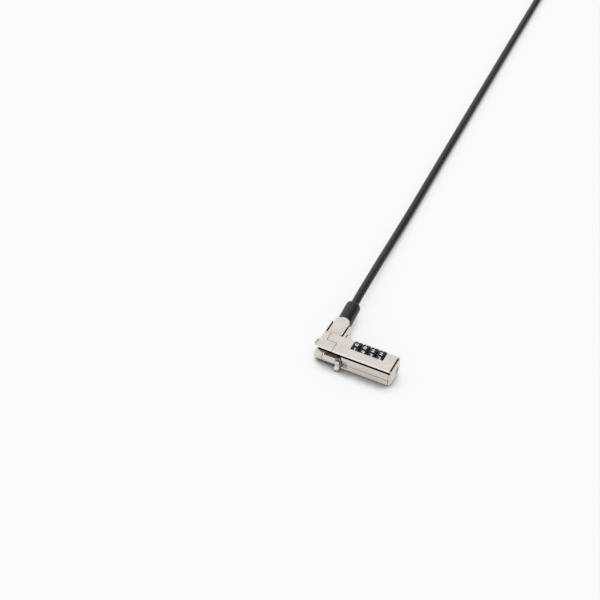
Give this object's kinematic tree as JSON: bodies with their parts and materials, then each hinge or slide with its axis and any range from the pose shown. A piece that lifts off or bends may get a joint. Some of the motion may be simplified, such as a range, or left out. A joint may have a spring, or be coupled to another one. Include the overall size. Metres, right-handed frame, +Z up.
{
  "type": "laptop cable lock",
  "caption": "Combination lock head with numbered dials, a thumb-released nose hook and a pivoting, swivelling black steel cable that ends in an anchor loop.",
  "frame": {"origin": "middle of the head's flat underside", "axes": "+X along the head away from the device it locks to, +Y towards the cable, +Z up out of the dial side"},
  "size_m": [0.0654, 0.4737, 0.0189],
  "materials": {
    "satin_nickel": "warm satin nickel plate on zinc castings, faintly bead-blasted",
    "hard_steel": "machined hardened steel",
    "spring_steel": "drawn spring steel",
    "brass": "turned brass",
    "dial_black": "black moulded plastic with white printed digits",
    "boot_black": "satin black moulded boot",
    "cable_sheath": "black sheath over twisted steel strands, with the lay of the strands showing through"
  },
  "bodies": {
    "head": {"lower_case": "satin_nickel", "main_body": "satin_nickel", "top_cover": "satin_nickel", "nose_block": "satin_nickel", "nose_hook": "hard_steel", "steady_foot": "satin_nickel", "end_cap": "satin_nickel", "detent_comb": "spring_steel", "return_spring": "spring_steel", "case_screw_1": "hard_steel", "case_screw_2": "hard_steel", "nose_screw": "hard_steel", "yoke_pin": "hard_steel"},
    "bolt": {"release_slide": "satin_nickel", "bolt_carrier": "hard_steel", "locking_blade": "hard_steel", "code_spindle": "brass", "spindle_clip": "spring_steel"},
    "first_dial": {"dial_1": "dial_black", "code_sleeve_1": "brass"},
    "second_dial": {"dial_2": "dial_black", "code_sleeve_2": "brass"},
    "third_dial": {"dial_3": "dial_black", "code_sleeve_3": "brass"},
    "fourth_dial": {"dial_4": "dial_black", "code_sleeve_4": "brass"},
    "reset": {"reset_screw": "hard_steel"},
    "yoke": {"cable_yoke": "satin_nickel"},
    "swivel": {"cable_ferrule": "hard_steel", "cable_boot": "boot_black", "cable_run": "cable_sheath", "cable_coil": "cable_sheath", "anchor_loop": "cable_sheath", "loop_sleeve": "satin_nickel"}
  },
  "joints": [
    {"name": "bolt_slide", "type": "slide", "parent": "head", "child": "bolt", "axis": [1, 0, 0], "range_m": [0, 0.0032], "stiffness_N_per_m": 150, "springref_m": -0.003, "deforming": ["return_spring"]},
    {"name": "dial_1_turn", "type": "hinge", "parent": "head", "child": "first_dial", "pos_m": [-0.0019, 0.00305, 0.0077], "axis": [1, 0, 0], "continuous": true},
    {"name": "dial_2_turn", "type": "hinge", "parent": "head", "child": "second_dial", "pos_m": [0.0027, 0.00305, 0.0077], "axis": [1, 0, 0], "continuous": true},
    {"name": "dial_3_turn", "type": "hinge", "parent": "head", "child": "third_dial", "pos_m": [0.0073, 0.00305, 0.0077], "axis": [1, 0, 0], "continuous": true},
    {"name": "dial_4_turn", "type": "hinge", "parent": "head", "child": "fourth_dial", "pos_m": [0.0119, 0.00305, 0.0077], "axis": [1, 0, 0], "continuous": true},
    {"name": "reset_turn", "type": "hinge", "parent": "head", "child": "reset", "pos_m": [0.0198, 0.00145, 0.0056], "axis": [1, 0, 0], "range_deg": [0, 90]},
    {"name": "yoke_pivot", "type": "hinge", "parent": "head", "child": "yoke", "pos_m": [-0.01635, 0.0108, 0.0057], "axis": [1, 0, 0], "range_deg": [-90, 0]},
    {"name": "cable_swivel", "type": "hinge", "parent": "yoke", "child": "swivel", "pos_m": [-0.0167, 0.01515, 0.0057], "axis": [-0.068, 0.9977, 0], "continuous": true}
  ]
}
